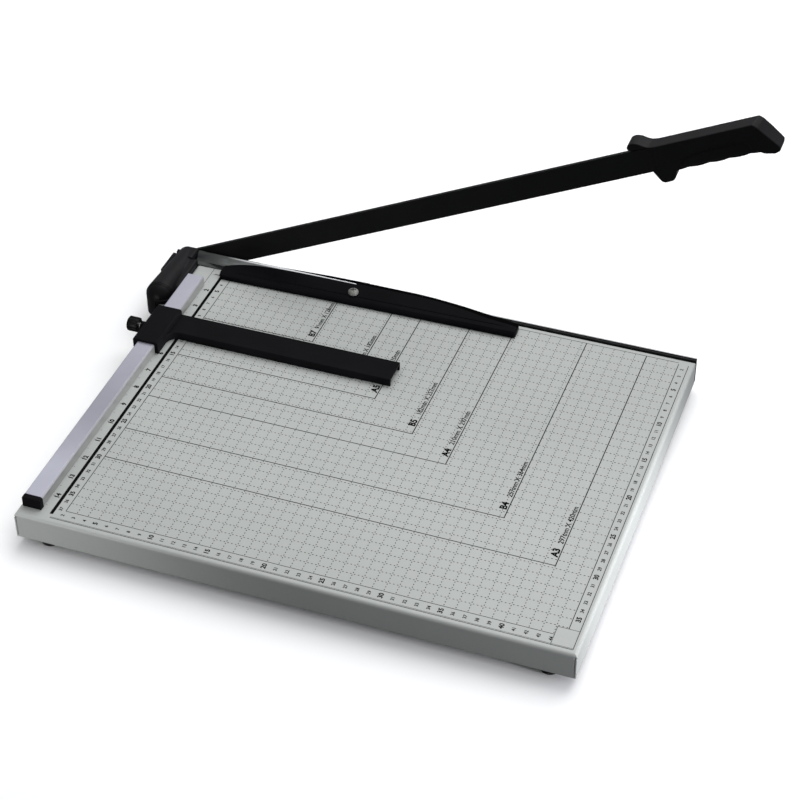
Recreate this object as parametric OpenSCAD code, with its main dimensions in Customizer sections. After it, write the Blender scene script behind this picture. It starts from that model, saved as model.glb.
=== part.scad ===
// Guillotine paper cutter: sheet steel table with a fence, a sliding paper
// stop, a finger guard and a long blade arm that shears against a fixed blade.
// Frame: X runs along the cutting edge from the hinge to the handle, Y runs
// from the near side of the table to the cutting edge, Z is up. The origin is
// the datum corner where the fence face, the cutting plane and the table top
// meet. Left is -X and far is +Y. Millimetres.

/* [Table] */
// Right end of the table, measured from the fence face
table_right = 464; // [454:1:480]
// Left end of the table, outside the fence
table_left = -19.6; // [-19.8:0.1:-19.4]
// Depth of the table from the cutting plane to the near face
table_depth = 387; // [384:1:395]
// Height of the folded skirt
skirt_h = 25; // [25:0.5:27]
// Sheet thickness of the table
sheet_t = 1.2; // [1:0.1:1.5]
// Outside radius of the folded edges
fold_r = 3; // [2:0.5:4]
// Height of a rubber foot below the skirt
foot_h = 9; // [8:0.5:12]
// Diameter of a rubber foot
foot_d = 20; // [18:0.5:22]

/* [Cutting edge] */
// Thickness of the fixed blade
fixed_t = 4; // [3.5:0.1:4]
// Height of the fixed blade above the table top
fixed_top = 1.5; // [1:0.1:2]
// Width of the moving blade bar
arm_w = 23; // [21:0.5:23]
// Thickness of the moving blade bar
arm_t = 4; // [3.5:0.1:4]
// Angle of the blade arm above the table at rest
arm_angle = 25.6; // [15:0.1:40]
// Side clearance between the two blades
shear_gap = 0.05; // [0.03:0.01:0.08]

/* [Fence and stop] */
// Width of the fence
fence_w = 16.5; // [16:0.1:16.6]
// Height of the fence above the table
fence_h = 10; // [9.5:0.1:10.2]
// Position of the far end of the paper stop
stop_y = -101; // [-300:1:-101]
// Reach of the paper stop's bar from the fence
stop_reach = 217; // [150:1:240]
// Width of the paper stop's bar
stop_bar_w = 26; // [22:0.5:28]

/* [Handle] */
// Distance from the pivot to the end of the handle
handle_end = 596; // [590:1:610]
// Thickness of the handle
handle_t = 16; // [14:0.5:20]

/* [Hidden] */
$fn = 64;

// outer faces of the table's near and far skirts
table_near = -table_depth;
table_far = -fixed_t;

// pivot of the blade arm
pivot_x = -33;
pivot_z = -11.04;
shaft_d = 10;
shaft_bore = shaft_d + 0.1;

// near and far faces of the blade bar
arm_near = shear_gap;
arm_far = shear_gap + arm_t;

// screw places
foot_x = [5, table_right - 24];
foot_y = [table_near + 13, -24];
fixed_screw_x = [20:102:428];
fixed_screw_z = -13;
fence_screw_x = -fence_w / 2;
fence_screw_y = [-64, -210, -356];
plate_screw_x = [48, 118];
plate_screw_y = -13.6;
guard_screw_x = 140;
guard_screw_y = -17;
bracket_screw_y = [-17, -33];
bracket_screw_z = -14;
housing_screw_y = [-7.2, -64];

// ---- shared shapes ----

// a solid of an XZ profile, from y0 to y1
module along_y(y0, y1) {
    translate([0, y1, 0]) rotate([90, 0, 0]) linear_extrude(y1 - y0) children();
}
// a solid of a YZ profile, from x0 to x1
module along_x(x0, x1) {
    translate([x0, 0, 0]) rotate([90, 0, 90]) linear_extrude(x1 - x0) children();
}
// a rod along Y
module rod_y(d, y0, y1) {
    translate([0, y0, 0]) rotate([-90, 0, 0]) cylinder(d = d, h = y1 - y0);
}
// a rod along X
module rod_x(d, x0, x1) {
    translate([x0, 0, 0]) rotate([0, 90, 0]) cylinder(d = d, h = x1 - x0);
}
// a rectangle whose two upper corners are rounded
module crowned(x0, x1, z0, z1, r) {
    union() {
        translate([x0, z0]) square([x1 - x0, z1 - z0 - r]);
        translate([x0 + r, z0]) square([x1 - x0 - 2 * r, z1 - z0]);
        for (x = [x0 + r, x1 - r])
            translate([x, z1 - r]) circle(r);
    }
}
// a pan head with its crown up, along +Z
module pan_head(d, h) {
    rim_h = h * 0.35;
    rotate_extrude() polygon(concat(
        [[0, 0], [d / 2, 0], [d / 2, rim_h]],
        [for (a = [20:14:90]) [(d / 2) * cos(a), rim_h + h * 0.65 * sin(a)]],
        [[0, h]]));
}
// a hexagon nut blank along +Z
module hex_blank(across_flats, h) {
    cylinder(d = across_flats / cos(30), h = h, $fn = 6);
}
module hex_nut(across_flats, h, bore) {
    difference() {
        hex_blank(across_flats, h);
        translate([0, 0, -1]) cylinder(d = bore, h = 6);
    }
}
// A pan head screw: head along +Z from the origin, shank along -Z. slot is
// [length, width, depth] of each arm of the cross, slot_z its middle height.
module screw(shank_d, shank_length, head_d, head_h, slot, slot_z, turn = 0) {
    difference() {
        union() {
            translate([0, 0, -shank_length]) cylinder(d = shank_d, h = shank_length);
            pan_head(head_d, head_h);
        }
        translate([0, 0, slot_z])
            for (a = [0, 90])
                rotate(turn + a) cube(slot, center = true);
    }
}

// places its children on the pivot's axis
module at_pivot() {
    translate([pivot_x, 0, pivot_z]) children();
}

// ---- table ----

near_flange_w = 26;
far_flange_w = 30;
side_flange_w = 10;
flange_gap = 1;
seam_w = 0.5;
notch_w = 2.2;

module tray_block(inset) {
    r = max(fold_r - inset, 0.6);
    left = table_left + inset;
    right = table_right - inset;
    near = table_near + inset;
    far = table_far - inset;
    intersection() {
        along_y(near, far) crowned(left, right, -skirt_h, -inset, r);
        along_x(left, right) crowned(near, far, -skirt_h, -inset, r);
    }
}

// flanges turned in along the bottom of the skirts
module return_flanges() {
    long = table_right - table_left - 2 * sheet_t;
    side_near = table_near + near_flange_w + flange_gap;
    side_far = table_far - far_flange_w - flange_gap;
    translate([table_left + sheet_t, table_near + sheet_t / 2, -skirt_h])
        cube([long, near_flange_w, sheet_t]);
    translate([table_left + sheet_t, table_far - far_flange_w, -skirt_h])
        cube([long, far_flange_w - sheet_t / 2, sheet_t]);
    for (x = [table_left + sheet_t / 2, table_right - sheet_t / 2 - side_flange_w])
        translate([x, side_near, -skirt_h])
            cube([side_flange_w, side_far - side_near, sheet_t]);
}

module corner_cuts() {
    // open seams where the long skirts meet the short ones
    for (x = [table_left + sheet_t, table_right - sheet_t - seam_w],
         y = [table_near - 1, table_far - sheet_t - 1])
        translate([x, y, -skirt_h + sheet_t + 0.2])
            cube([seam_w, sheet_t + 2, skirt_h - fold_r - sheet_t - 0.4]);
    // relief notches at the tops of the seams
    for (x = [table_left, table_right - notch_w], y = [table_near - 0.5, table_far - 1.7])
        translate([x - 0.1, y, -fold_r - 1.2]) cube([notch_w + 0.1, notch_w, 1.6]);
}

// a hole through a level sheet whose underside is at z
module sheet_hole(x, y, z, d) {
    translate([x, y, z - 1]) cylinder(d = d, h = sheet_t + 2);
}

module tray_holes() {
    for (x = foot_x, y = foot_y)
        sheet_hole(x, y, -skirt_h, 4.4);
    for (y = fence_screw_y)
        sheet_hole(fence_screw_x, y, -sheet_t, 4.4);
    sheet_hole(guard_screw_x, guard_screw_y, -sheet_t, 5.2);
    for (x = plate_screw_x)
        sheet_hole(x, plate_screw_y, -sheet_t, 3);
    // fixed blade screws, through the far skirt
    for (x = fixed_screw_x)
        translate([x, 0, fixed_screw_z]) rod_y(5.2, table_far - sheet_t - 1, table_far + 1);
    // hinge bracket screws, through the left skirt
    for (y = bracket_screw_y)
        translate([0, y, bracket_screw_z]) rod_x(5.2, table_left - 1, table_left + sheet_t + 1);
}

module base_tray() {
    color("gainsboro") difference() {
        union() {
            difference() {
                tray_block(0);
                tray_block(sheet_t);
            }
            return_flanges();
        }
        corner_cuts();
        tray_holes();
    }
}

// shallow hat channels under the table top
module underside_stiffeners() {
    color("silver") for (y = [-140, -265])
        along_x(table_left + 16, table_right - 16) translate([y, -sheet_t])
            polygon([[-20, 0], [-20, -1], [-12, -1], [-10, -12], [10, -12], [12, -1],
                [20, -1], [20, 0], [11.2, 0], [9.2, -11], [-9.2, -11], [-11.2, 0]]);
}

// ---- feet ----

// height of the screw head's seat below the skirt
foot_seat = 4;

module at_feet(z) {
    for (x = foot_x, y = foot_y)
        translate([x, y, z]) children();
}
module rubber_feet() {
    r = foot_d / 2;
    color([0.07, 0.07, 0.07]) at_feet(-skirt_h) difference() {
        rotate_extrude() polygon([[0, 0], [r, 0], [r, -foot_h * 0.35],
            [r - 1.4, -foot_h + 1], [r - 2.4, -foot_h], [0, -foot_h]]);
        // recess for the screw head, then the screw hole
        translate([0, 0, -foot_h - 1]) cylinder(d = 8.4, h = 1 + foot_h - foot_seat);
        translate([0, 0, -foot_seat - 1]) cylinder(d = 4.2, h = 6);
    }
}
module foot_screws() {
    color("silver") at_feet(-skirt_h - foot_seat) rotate([180, 0, 0])
        screw(shank_d = 4, shank_length = foot_seat + sheet_t + 6, head_d = 7.6, head_h = 2.6,
            slot = [4.4, 0.9, 2.6], slot_z = 3);
}
module foot_nuts() {
    color("silver") at_feet(-skirt_h + sheet_t) hex_nut(across_flats = 7, h = 3.2, bore = 4);
}

// ---- fixed blade ----

fixed_left = -47;
fixed_bottom = -24;
fixed_corner_r = 8;

module fixed_blade() {
    color([0.1, 0.1, 0.11]) difference() {
        // the bar, with a ground land at the cutting corner and a stepped back edge
        along_x(fixed_left, table_right) polygon([
            [-fixed_t, fixed_bottom], [0, fixed_bottom], [0, fixed_top],
            [-1.3, fixed_top + 0.1], [-1.9, fixed_top - 0.5],
            [-fixed_t + 0.5, fixed_top - 0.5], [-fixed_t, fixed_top - 1]]);
        at_pivot() rod_y(shaft_bore, -fixed_t - 1, 1);
        for (x = fixed_screw_x)
            translate([x, 0, fixed_screw_z]) rod_y(5, -fixed_t - 1, 1);
        // rounded lower left corner
        translate([fixed_left, -fixed_t - 1, fixed_bottom]) difference() {
            cube([fixed_corner_r, fixed_t + 2, fixed_corner_r]);
            translate([fixed_corner_r, 0, fixed_corner_r])
                rod_y(2 * fixed_corner_r, -1, fixed_t + 4);
        }
    }
}
module fixed_blade_screws() {
    color("silver") for (x = fixed_screw_x)
        translate([x, table_far - sheet_t, fixed_screw_z]) rotate([90, 0, 0])
            screw(shank_d = 5, shank_length = fixed_t + sheet_t - 0.4, head_d = 9, head_h = 3,
                slot = [5, 1, 2.6], slot_z = 2.4);
}

// ---- fence ----

fence_near = -371;
fence_far = -44;
fence_wall = 1.6;
hollow_w = 3.7;

module fence_profile() {
    difference() {
        polygon([[-fence_w, 0], [-fence_w, fence_h - 0.8], [-fence_w + 0.8, fence_h],
            [-1.2, fence_h], [0, fence_h - 1.2], [0, 0]]);
        // two hollows either side of the screw land
        for (x = [-fence_w + fence_wall, -fence_wall - hollow_w])
            translate([x, -1]) square([hollow_w, fence_h - 0.8]);
    }
}
module fence_rail() {
    color([0.80, 0.80, 0.88]) difference() {
        along_y(fence_near, fence_far) fence_profile();
        for (y = fence_screw_y)
            translate([fence_screw_x, y, -1]) cylinder(d = 4, h = 7.5);
    }
}
module fence_end_cap() {
    // left X and width of the plugs that enter the two hollows of the rail
    plugs = [[-fence_w + 1.7, 3.4], [-5.2, 3.5]];
    color([0.07, 0.07, 0.08]) union() {
        along_y(fence_near - 5, fence_near) polygon([
            [-fence_w - 0.3, 0], [-fence_w - 0.3, fence_h - 0.6], [-fence_w + 0.6, fence_h + 0.3],
            [-1.1, fence_h + 0.3], [0.3, fence_h - 1.1], [0.3, 0]]);
        for (plug = plugs)
            translate([plug[0], fence_near, 0.6]) cube([plug[1], 8, fence_h - 2.6]);
    }
}
module fence_screws() {
    color("silver") for (y = fence_screw_y)
        translate([fence_screw_x, y, -sheet_t]) rotate([180, 0, 0])
            screw(shank_d = 4, shank_length = sheet_t + 6, head_d = 8, head_h = 2.8,
                slot = [4.6, 0.9, 2.6], slot_z = 3);
}

// ---- polished plate ----

plate_right = 157;
plate_t = 1;

// A thin springy steel plate: a foot strip flat on the table and a face that
// climbs to the cutting line.
module polished_guide_plate() {
    color([0.85, 0.86, 0.88]) difference() {
        along_x(-24, plate_right) polygon([[-16.5, 0], [-10.2, 0], [-1.3, 5.1], [-1.05, 5.6],
            [-1.3, 6.1], [-1.9, 6.0], [-10.9, plate_t], [-16.5, plate_t]]);
        for (x = plate_screw_x)
            translate([x, plate_screw_y, -1]) cylinder(d = 3.2, h = 4);
        translate([guard_screw_x, guard_screw_y, -1]) cylinder(d = 5.6, h = 4);
    }
}
module guide_plate_screws() {
    color("silver") for (x = plate_screw_x)
        translate([x, plate_screw_y, plate_t])
            screw(shank_d = 3, shank_length = 6, head_d = 5, head_h = 1.3,
                slot = [2.8, 0.6, 1.4], slot_z = 1.4);
}

// ---- finger guard ----

// height of the seat under the guard screw's head
guard_seat_z = 6.6;
// rise in Y of the near edge per unit of X
guard_near_slope = 5 / 284;
// X and Y of the far edge, from the step over the fixed blade to the right end
guard_far_taper = [[200, -0.5], [215, -1.3], [243, -3.7], [265, -6.5], [280, -8.6], [300, -10.9]];
// X and height of the ridge, up to where it starts to fall in a curve
guard_ridge = [[9, 6.6], [36, 8.2], [140, 9.4], [210, 9.4], [270, 8.2]];

function guard_near(x) = -30.6 + guard_near_slope * (x - 16);
function guard_far(x) =
    x < 138.5 ? -5 - 11.6 * exp(-(x - 9.5) / 22) : lookup(x, guard_far_taper);
function guard_top(x) =
    x < 270 ? lookup(x, guard_ridge) : 8.2 - 2.2 * pow((x - 270) / 31, 2);

// Outline seen from above: straight near edge; the far edge curves out from
// the left corner, steps over the fixed blade, then tapers back.
module guard_plan() {
    near_r = 3;
    far_r = 4.2;
    near_corner = [for (a = [0:15:90])
        [11.6 - near_r * cos(a), guard_near(11) + near_r - near_r * sin(a)]];
    far_corner = [for (a = [0:15:75]) [13 - far_r * sin(a), -19.2 + far_r * cos(a)]];
    polygon(concat(
        near_corner,
        [[300, guard_near(300)]],
        [for (x = [300:-5:140]) [x, guard_far(x)]],
        [[138.6, -0.5]],
        [for (x = [138.4:-6:18]) [x, guard_far(x)]],
        far_corner));
}
// the guard's solid: plan, cross section and side view intersected
module guard_block() {
    intersection() {
        linear_extrude(14) guard_plan();
        // near lip, sloping face, bevel over the fixed blade
        along_x(5, 305) polygon([[-31, 0.05], [-31, 3.6], [-30, 4.6], [-29, 5.1],
            [-4.9, 8.5], [-0.7, 8.4], [-0.4, 8.1], [0, 8.0], [0, 0.05]]);
        along_y(-32, 0) polygon(concat(
            [[8, 0], [8, 4.6], [8.6, 6.2]],
            [for (x = [10:10:300]) [x, guard_top(x)]],
            [[301, 0]]));
    }
}
module guard_body() {
    difference() {
        guard_block();
        // hollow underside, leaving walls and the screw boss
        difference() {
            along_x(20, 290)
                polygon([[-26.8, -1], [-26.8, 3.2], [-22, 4.2], [-18.2, 4.6], [-18.2, -1]]);
            translate([guard_screw_x, guard_screw_y, -2]) cylinder(d = 13, h = 10);
        }
        // room for the polished plate and its screws
        along_x(-30, plate_right + 0.4) polygon([[-17.0, -1], [-17.0, 1.15], [-10.94, 1.15],
            [-1.7, 6.15], [-0.9, 6.4], [1, 6.6], [1, -1]]);
        for (x = plate_screw_x)
            translate([x, plate_screw_y, 0]) cylinder(d = 6, h = 3.2);
        // room for the fixed blade's raised edge
        along_x(-30, 310) polygon([[-4.4, -1], [-4.4, 1.9], [1, 1.9], [1, -1]]);
        // screw hole and the level seat of the screw's head
        translate([guard_screw_x, guard_screw_y, -1]) cylinder(d = 5.2, h = 14);
        translate([guard_screw_x, guard_screw_y, guard_seat_z]) cylinder(d = 10.6, h = 6);
        // fine groove that sets off the near lip
        translate([24, guard_near(24) + 6.2, 5.4])
            rotate([0, -atan(0.68 / 270), atan(guard_near_slope)]) cube([262, 1.3, 4]);
    }
}
module finger_guard() {
    color([0.09, 0.09, 0.10]) {
        guard_body();
        // thin lip that runs on to the left, on the far side of the plate's rim
        along_y(-0.9, -0.1) polygon([[40, 2.05], [40, 4.4], [75, 6.0], [110, 7.6],
            [150, 8.3], [150, 6.7], [138.6, 6.7], [138.6, 2.05]]);
    }
}
module guard_screw() {
    color([0.82, 0.82, 0.84]) translate([guard_screw_x, guard_screw_y, guard_seat_z])
        screw(shank_d = 5, shank_length = sheet_t + 7 + guard_seat_z, head_d = 9.8, head_h = 4,
            slot = [5.4, 1.1, 2.6], slot_z = 3.8, turn = 20);
}
module guard_nut() {
    color("silver") translate([guard_screw_x, guard_screw_y, -sheet_t - 4])
        hex_nut(across_flats = 8, h = 4, bore = 5);
}

// ---- hinge bracket ----

bracket_near = -66;
bracket_bottom = -24;
bracket_plate_t = 3;
// near Y, thickness and left end X of the two webs
bracket_webs = [[-10, 6, -42.8], [-66, 4, -46]];
web_r = 9.6;

// outline of a web about the shaft, with a tab that reaches left to tab_x
module web_profile(tab_x) {
    intersection() {
        union() {
            translate([pivot_x, pivot_z]) circle(web_r);
            translate([pivot_x, pivot_z - web_r]) square([-pivot_x + table_left - 1, 19]);
            translate([tab_x, pivot_z - 4]) square([10, 8]);
        }
        translate([-60, bracket_bottom]) square([60 + table_left - 1, 40]);
    }
}
// U-shaped bracket: a back plate on the left skirt and two webs that carry the shaft
module hinge_bracket() {
    color([0.12, 0.12, 0.13]) difference() {
        union() {
            translate([table_left - bracket_plate_t, bracket_near, bracket_bottom])
                cube([bracket_plate_t, 62, 22]);
            for (web = bracket_webs)
                along_y(web[0], web[0] + web[1]) web_profile(web[2]);
            // low flange that shows beyond the housing
            translate([-50.4, -33, -6]) cube([3, 29, 5]);
            translate([-50.4, -8, -6]) cube([14, 4, 5]);
        }
        at_pivot() rod_y(shaft_bore, -70, 0);
        for (y = bracket_screw_y)
            translate([0, y, bracket_screw_z]) rod_x(5, table_left - 5, table_left + 1);
        // pilot holes for the housing's side screws
        for (y = housing_screw_y)
            translate([0, y, pivot_z]) rod_x(2.6, -47, housing_wall_x(y) + 6.6);
    }
}
module hinge_bracket_screws() {
    color("silver") for (y = bracket_screw_y)
        translate([table_left + sheet_t, y, bracket_screw_z]) rotate([0, 90, 0])
            screw(shank_d = 5, shank_length = sheet_t + 2.9, head_d = 9, head_h = 3,
                slot = [5, 1, 2.6], slot_z = 2.4);
}

// ---- hinge housing ----

// axis of the crowned top
housing_x = -34;
housing_z = -3;
housing_far = -0.4;
// centre of the domed near end
housing_near = -66;
housing_far_r = 11;
housing_near_r = 14.5;
housing_bottom = -20;
housing_wall = 2;
housing_right = -18.6;
// the far right corner is cut back to here
shoulder_x = -24.4;
shoulder_y = -17;
// joint between the housing and its end cap
cap_joint_y = -68;

// radius of the crowned top, widening towards the near end
function housing_r(y) = housing_far_r
    + (housing_near_r - housing_far_r) * (housing_far - y) / (housing_far - housing_near);
// outer face of the left wall
function housing_wall_x(y) = housing_x - housing_r(y);

// the housing's solid, drawn in by inset
module housing_body(inset) {
    far = housing_far - inset;
    near_r = housing_near_r - inset;
    right = housing_right - inset;
    side_h = housing_z - housing_bottom;
    // crowned tube
    translate([housing_x, far, housing_z]) rotate([90, 0, 0])
        cylinder(r1 = housing_r(far) - inset, r2 = near_r, h = far - housing_near);
    // straight sides
    translate([0, 0, housing_bottom]) linear_extrude(side_h) polygon([
        [housing_wall_x(far) + inset, far], [housing_x - near_r, housing_near],
        [right, housing_near], [right, far]]);
    // shoulder beside the table
    along_x(housing_x, shoulder_x - inset) polygon([[far, housing_bottom], [far, 8 - inset],
        [-60, 8 - inset], [-60, housing_bottom]]);
    along_x(housing_x, right) polygon([
        [shoulder_y - inset, housing_bottom], [shoulder_y - inset, 6.6 - inset],
        [-60, 5 - inset], [-60, housing_bottom]]);
    // domed near end
    translate([housing_x, housing_near, housing_z]) sphere(near_r);
    translate([housing_x, housing_near, housing_bottom]) cylinder(r = near_r, h = side_h);
}
module housing_shell() {
    difference() {
        housing_body(0);
        housing_body(housing_wall);
    }
}
// opens the underside
module housing_floor_cut() {
    translate([-60, -101, -31]) cube([60, 101, 11.2]);
}
module hinge_housing() {
    color([0.09, 0.09, 0.10]) difference() {
        housing_shell();
        // the end cap's share
        translate([-60, -100, -40]) cube([60, 100 + cap_joint_y, 80]);
        // clears the fixed blade, and the polished plate's left end
        translate([-60, -4.2, -30]) cube([60, 10, 31.7]);
        translate([shoulder_x, shoulder_y, -30]) cube([20, 20, 60]);
        // the back plate and the skirt stand inside the open right side
        translate([-27, -19.2, -30]) cube([24, 20, 30.25]);
        translate([table_left - 3.2, -101, -30]) cube([20, 101, 30.25]);
        housing_floor_cut();
        // notch for the bracket's low flange
        translate([-52, -8.4, -6.3]) cube([10, 9, 5.6]);
        // side screw holes
        for (y = housing_screw_y)
            translate([housing_wall_x(y), y, pivot_z]) rod_x(3, -3, 3);
    }
}
module housing_end_cap() {
    color([0.08, 0.08, 0.09]) difference() {
        housing_shell();
        // the housing's share
        translate([-60, cap_joint_y - 0.05, -40]) cube([60, 80, 80]);
        // room for the skirt
        translate([table_left - 0.4, -101, -30]) cube([20, 100, 30.25]);
        housing_floor_cut();
    }
}
module housing_screws() {
    color("silver") for (y = housing_screw_y)
        translate([housing_wall_x(y) - 0.17, y, pivot_z]) rotate([0, -90, 0])
            screw(shank_d = 2.6, shank_length = 6.5, head_d = 5.4, head_h = 1.6,
                slot = [3.2, 0.7, 1.6], slot_z = 1.6);
}

// ---- pivot ----

washer_t = 2;
// seat of the shaft's head, beyond the washer
shaft_head_y = arm_far + washer_t + 0.1;
// near Y and thickness of the two spring cups
spring_cup_places = [[-12, 2], [-61.4, 1.4]];

module pivot_shaft() {
    color("silver") at_pivot() difference() {
        union() {
            rod_y(shaft_d, -75.8, shaft_head_y);
            // domed head outside the arm
            translate([0, shaft_head_y, 0]) rotate([-90, 0, 0]) pan_head(18, 6);
        }
        // driver socket in the head
        translate([0, shaft_head_y + 2.5, 0]) rotate([-90, 0, 0]) hex_blank(6, 6);
    }
}
module pivot_washer() {
    color("silver") at_pivot() difference() {
        rod_y(22, arm_far + 0.05, arm_far + 0.05 + washer_t);
        rod_y(shaft_d, 0, 20);
    }
}
module spring_cups() {
    color("silver") at_pivot() for (cup = spring_cup_places) difference() {
        rod_y(18.4, cup[0], cup[0] + cup[1]);
        rod_y(shaft_d, -70, 0);
    }
}

coil_r = 7.1;
wire_r = 1.25;
coil_turns = 7.5;
coil_near = -58.6;
coil_far = -13.4;
coil_steps = 180;
wire_sides = 8;

// point j of the ring of wire at step i of the helix
function coil_point(i, j) =
    let (turn = 360 * coil_turns * i / coil_steps,
         around = 360 * j / wire_sides,
         r = coil_r + wire_r * cos(around),
         y = coil_near + (coil_far - coil_near) * i / coil_steps + wire_r * sin(around))
    [r * cos(turn), y, r * sin(turn)];
// the side face from point j of ring i to the next point and ring
function coil_face(i, j) =
    let (next = (j + 1) % wire_sides, ring = i * wire_sides, next_ring = ring + wire_sides)
    [ring + j, next_ring + j, next_ring + next, ring + next];

// coil of round wire about the shaft
module pivot_spring() {
    color([0.45, 0.46, 0.48]) at_pivot() polyhedron(
        points = [for (i = [0:coil_steps], j = [0:wire_sides - 1]) coil_point(i, j)],
        faces = concat(
            [[for (j = [0:wire_sides - 1]) j]],
            [for (i = [0:coil_steps - 1], j = [0:wire_sides - 1]) coil_face(i, j)],
            [[for (j = [wire_sides - 1:-1:0]) coil_steps * wire_sides + j]]));
}
module pivot_lock_nut() {
    color("silver") at_pivot() difference() {
        union() {
            translate([0, -66.2, 0]) rotate([90, 0, 0]) hex_blank(15, 7);
            rod_y(13.6, -75.2, -73);
        }
        rod_y(shaft_d, -90, 0);
    }
}

// ---- blade arm ----

// The arm's own frame: u (its X) runs along the bar, Z across it, Y unchanged.
pivot_u = -3.33;
bar_mid = 0.6;
bar_bottom = bar_mid - arm_w / 2;
bar_top = bar_mid + arm_w / 2;
// shoulder where the full-width bar ends and the tang begins
shoulder_u = 486;
bush_d = 16;
tang_h = 14;
// the tang's near face lies this far in from the bar's
tang_inset = 1.5;
rivet_u = [505, 545];
rivet_d = 4.5;

// places its children in the arm's own frame
module in_arm() {
    at_pivot() rotate([0, -arm_angle, 0]) translate([-pivot_u, 0, 0]) children();
}
module blade_arm() {
    color([0.10, 0.10, 0.11]) in_arm() difference() {
        union() {
            // bar with a rounded heel
            along_x(pivot_u, shoulder_u) polygon([
                [arm_near, bar_bottom], [arm_far - 2.6, bar_bottom], [arm_far, bar_bottom + 5.5],
                [arm_far, bar_top - 0.5], [arm_far - 0.5, bar_top],
                [arm_near + 0.3, bar_top], [arm_near, bar_top - 0.3]]);
            translate([pivot_u, 0, bar_mid]) rod_y(arm_w, arm_near, arm_far);
            // narrower tang inside the handle
            translate([shoulder_u - 1, arm_near + tang_inset, -tang_h / 2])
                cube([74, arm_t - tang_inset, tang_h]);
        }
        translate([pivot_u, 0, 0]) rod_y(bush_d, -1, 6);
        for (u = rivet_u)
            translate([u, 0, 0]) rod_y(rivet_d, -1, 6);
    }
}
module arm_bush() {
    color([0.72, 0.60, 0.33]) at_pivot() difference() {
        rod_y(bush_d, arm_near, arm_far);
        rod_y(shaft_bore, -1, 6);
    }
}

// ---- handle ----

scallop_start = 505;
scallop_pitch = 18.5;
scallop_steps = 48;

// side view of the grip in the arm's frame
module grip_profile() {
    // finger lug in front of the grip
    lug = [[shoulder_u - 4, bar_bottom - 0.4], [484.6, -18.6], [486.2, -22], [489, -23.4],
        [496.4, -23], [499, -20.6], [502, -15.4], [505, -14]];
    // four shallow finger scallops
    scallops = [for (i = [0:scallop_steps])
        let (along = 4 * scallop_pitch * i / scallop_steps)
        [scallop_start + along, -14.5 + 0.7 * (1 - abs(cos(180 * along / scallop_pitch)))]];
    butt = [[581, -16.4], [handle_end - 6.4, -18], [handle_end - 1.6, -17],
        [handle_end - 0.2, -13.7], [handle_end - 2.4, -9], [handle_end - 6.4, 0],
        [handle_end - 10.4, 7.6], [handle_end - 13.6, 11]];
    // top edge, ending in a horn over the bar
    horn = [[492, 11], [485, 12.4], [480, 16], [476, 18.2], [471, 18.6], [467, 17],
        [465.6, 14.6], [466.8, 12.7], [469.5, bar_top + 0.15], [shoulder_u - 4, bar_top + 0.15]];
    polygon(concat(lug, scallops, butt, horn));
}
module handle_grip() {
    grip_near = arm_near + 0.05;
    color([0.09, 0.09, 0.10]) in_arm() difference() {
        union() {
            along_y(grip_near, grip_near + handle_t) grip_profile();
            // raised panel on the near side
            translate([510, arm_near - 0.4, -12]) cube([61, 1, 10.6]);
        }
        // the full-width bar enters as far as its shoulder
        translate([400, -1, bar_bottom - 0.1])
            cube([shoulder_u - 400 + 0.1, arm_far + 1.1, arm_w + 0.2]);
        // slot for the tang
        translate([shoulder_u - 2, arm_near + tang_inset - 0.05, -tang_h / 2 - 0.05])
            cube([76, arm_t - tang_inset + 0.1, tang_h + 0.1]);
        for (u = rivet_u)
            translate([u, 0, 0]) rod_y(rivet_d, arm_near + 0.8, handle_t + 2);
    }
}
module handle_rivets() {
    color([0.2, 0.2, 0.2]) in_arm() for (u = rivet_u)
        translate([u, 0, 0]) rod_y(rivet_d, arm_near + 0.8, arm_near + handle_t - 0.2);
}

// ---- paper stop ----

stop_len = 53;
stop_bar_h = 7.6;
// gap between the stop and the table top
stop_lift = 0.4;
gusset_r = 10;
// axis of the clamp screw
clamp_y = stop_y - 23.7;
clamp_z = 3.8;
clamp_d = 5;
clamp_nut_x = -20.05;
clamp_nut_t = 2.5;
clamp_nut_w = 7;

module at_clamp() {
    translate([0, clamp_y, clamp_z]) children();
}
module paper_stop() {
    bar_near = stop_y - 1 - stop_bar_w;
    pocket_w = clamp_nut_w + 0.1;
    color([0.09, 0.09, 0.10]) difference() {
        union() {
            // saddle over the fence
            along_y(stop_y - stop_len, stop_y) polygon([
                [-21, 0.5], [-21, 11.4], [-19.8, 12.6], [2.2, 12.6], [3.4, 11.4],
                [3.4, stop_lift], [0.15, stop_lift], [0.15, fence_h + 0.15],
                [-fence_w - 0.15, fence_h + 0.15], [-fence_w - 0.15, 0.5]]);
            // bar across the table
            translate([3.2, bar_near, stop_lift]) cube([stop_reach - 3.2, stop_bar_w, stop_bar_h]);
            // rounded gusset where the bar leaves the saddle
            translate([3.3, bar_near - gusset_r, stop_lift]) difference() {
                cube([gusset_r, gusset_r + 0.1, stop_bar_h]);
                translate([gusset_r, 0, -1]) cylinder(r = gusset_r, h = 12);
            }
            // boss for the clamp screw
            at_clamp() rod_x(8.6, -26.6, -20.4);
        }
        // hollow underside and open end of the bar
        translate([6, bar_near + 2, -1]) cube([stop_reach, stop_bar_w - 4, 7]);
        // clamp screw hole and the pocket of its nut
        at_clamp() rod_x(clamp_d + 0.1, -30, -10);
        translate([clamp_nut_x - 0.05, clamp_y - pocket_w / 2, -1])
            cube([clamp_nut_t + 0.1, pocket_w, pocket_w / 2 + clamp_z + 1]);
    }
}
module clamp_nut() {
    color("silver") at_clamp() difference() {
        translate([clamp_nut_x, -clamp_nut_w / 2, -clamp_nut_w / 2])
            cube([clamp_nut_t, clamp_nut_w, clamp_nut_w]);
        rod_x(clamp_d + 0.1, -22, -15);
    }
}
module clamp_screw() {
    color("silver") at_clamp() rod_x(clamp_d, -36, -fence_w - 0.1);
}
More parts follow.
